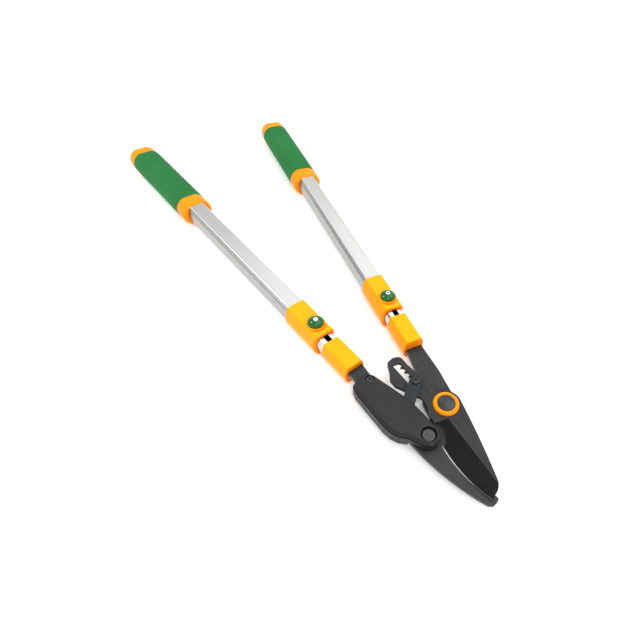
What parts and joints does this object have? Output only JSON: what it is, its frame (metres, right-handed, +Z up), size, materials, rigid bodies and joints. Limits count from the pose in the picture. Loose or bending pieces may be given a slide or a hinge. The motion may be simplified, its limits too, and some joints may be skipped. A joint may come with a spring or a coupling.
{
  "type": "ratchet bypass loppers",
  "caption": "Long-handled bypass loppers with a curved blade against a hook, a toothed ratchet linkage under a cover, and telescopic handles with push-button locks and soft grips.",
  "frame": {"origin": "middle of the box round the tool, on the ground it lies on", "axes": "+X towards the blade tip, +Y towards the fixed handle, +Z up through the pivot, on the side of the pivot cap"},
  "size_m": [0.6842, 0.2382, 0.04],
  "materials": {
    "blackened_steel": "satin black coating",
    "coated_blade": "low-friction black coating, ground edge",
    "bright_steel": "bright zinc",
    "dark_steel": "black oxide, polished heads",
    "link_steel": "blued black",
    "bearing_bronze": "sintered",
    "yellow_plastic": "semi-gloss",
    "orange_plastic": "semi-gloss",
    "black_plastic": "satin, finely textured",
    "gloss_black": "glossy",
    "green_grip": "matte, finely textured",
    "green_button": "glossy",
    "satin_aluminium": "satin anodised",
    "bright_aluminium": "bright drawn",
    "nylon": "matte"
  },
  "bodies": {
    "hook_side": {"counter_blade": "blackened_steel", "stop_pin": "blackened_steel", "pivot_bolt": "bright_steel", "pivot_washer": "bright_steel", "pivot_nut": "bright_steel", "pivot_ring": "orange_plastic", "pivot_cap": "gloss_black", "handle_rivet": "dark_steel", "fixed_ferrule": "yellow_plastic", "fixed_inner_tube": "bright_aluminium", "fixed_tang_block": "nylon", "fixed_tang_rivets": "bright_steel", "fixed_rear_glide": "nylon"},
    "blade": {"cutting_blade": "coated_blade", "blade_bush": "bearing_bronze"},
    "lever": {"lever_arm": "blackened_steel", "upper_cover": "black_plastic", "lower_cover": "black_plastic", "cover_screws": "dark_steel", "link_pivot_pin": "bright_steel", "link_spring": "bright_steel", "lever_ferrule": "yellow_plastic", "lever_inner_tube": "bright_aluminium", "lever_tang_block": "nylon", "lever_tang_rivets": "bright_steel", "lever_rear_glide": "nylon"},
    "link": {"link_top_plate": "link_steel", "link_bottom_plate": "link_steel", "ratchet_pin": "bright_steel", "link_screw": "dark_steel"},
    "fixed_slider": {"fixed_outer_tube": "satin_aluminium", "fixed_glide_bush": "nylon", "fixed_clamp_sleeve": "yellow_plastic", "fixed_sleeve_screw": "bright_steel", "fixed_grip_core": "orange_plastic", "fixed_grip_sleeve": "green_grip", "fixed_end_cap": "orange_plastic", "fixed_lock_spring": "bright_steel"},
    "lever_slider": {"lever_outer_tube": "satin_aluminium", "lever_glide_bush": "nylon", "lever_clamp_sleeve": "yellow_plastic", "lever_sleeve_screw": "bright_steel", "lever_grip_core": "orange_plastic", "lever_grip_sleeve": "green_grip", "lever_end_cap": "orange_plastic", "lever_lock_spring": "bright_steel"},
    "fixed_lock": {"fixed_lock_button": "green_button", "fixed_lock_pin": "bright_steel", "fixed_lock_screw": "bright_steel"},
    "lever_lock": {"lever_lock_button": "green_button", "lever_lock_pin": "bright_steel", "lever_lock_screw": "bright_steel"}
  },
  "joints": [
    {"name": "lever_pivot", "type": "hinge", "parent": "hook_side", "child": "lever", "pos_m": [0.259, -0.01919, 0.016], "axis": [0, 0, 1], "range_deg": [0, 46]},
    {"name": "blade_pivot", "type": "hinge", "parent": "hook_side", "child": "blade", "pos_m": [0.2403, 0.01761, 0.016], "axis": [0, 0, 1], "range_deg": [0, 37.9]},
    {"name": "ratchet_link_pivot", "type": "hinge", "parent": "lever", "child": "link", "pos_m": [0.2273, -0.02459, 0.016], "axis": [0, 0, 1], "range_deg": [-48.5, 0]},
    {"name": "fixed_extension", "type": "slide", "parent": "hook_side", "child": "fixed_slider", "axis": [-0.9911, 0.1335, 0], "range_m": [0, 0.355]},
    {"name": "fixed_lock_press", "type": "slide", "parent": "fixed_slider", "child": "fixed_lock", "axis": [0, 0, -1], "range_m": [0, 0.003], "stiffness_N_per_m": 600, "springref_m": -0.003, "deforming": ["fixed_lock_spring"]},
    {"name": "lever_extension", "type": "slide", "parent": "lever", "child": "lever_slider", "axis": [-0.9917, -0.1288, 0], "range_m": [0, 0.355]},
    {"name": "lever_lock_press", "type": "slide", "parent": "lever_slider", "child": "lever_lock", "axis": [0, 0, -1], "range_m": [0, 0.003], "stiffness_N_per_m": 600, "springref_m": -0.003, "deforming": ["lever_lock_spring"]}
  ],
  "couplings": [
    {"joint": "blade_pivot", "follows": "lever_pivot", "ratio": 0.8217},
    {"joint": "ratchet_link_pivot", "follows": "lever_pivot", "ratio": -1.0508}
  ]
}
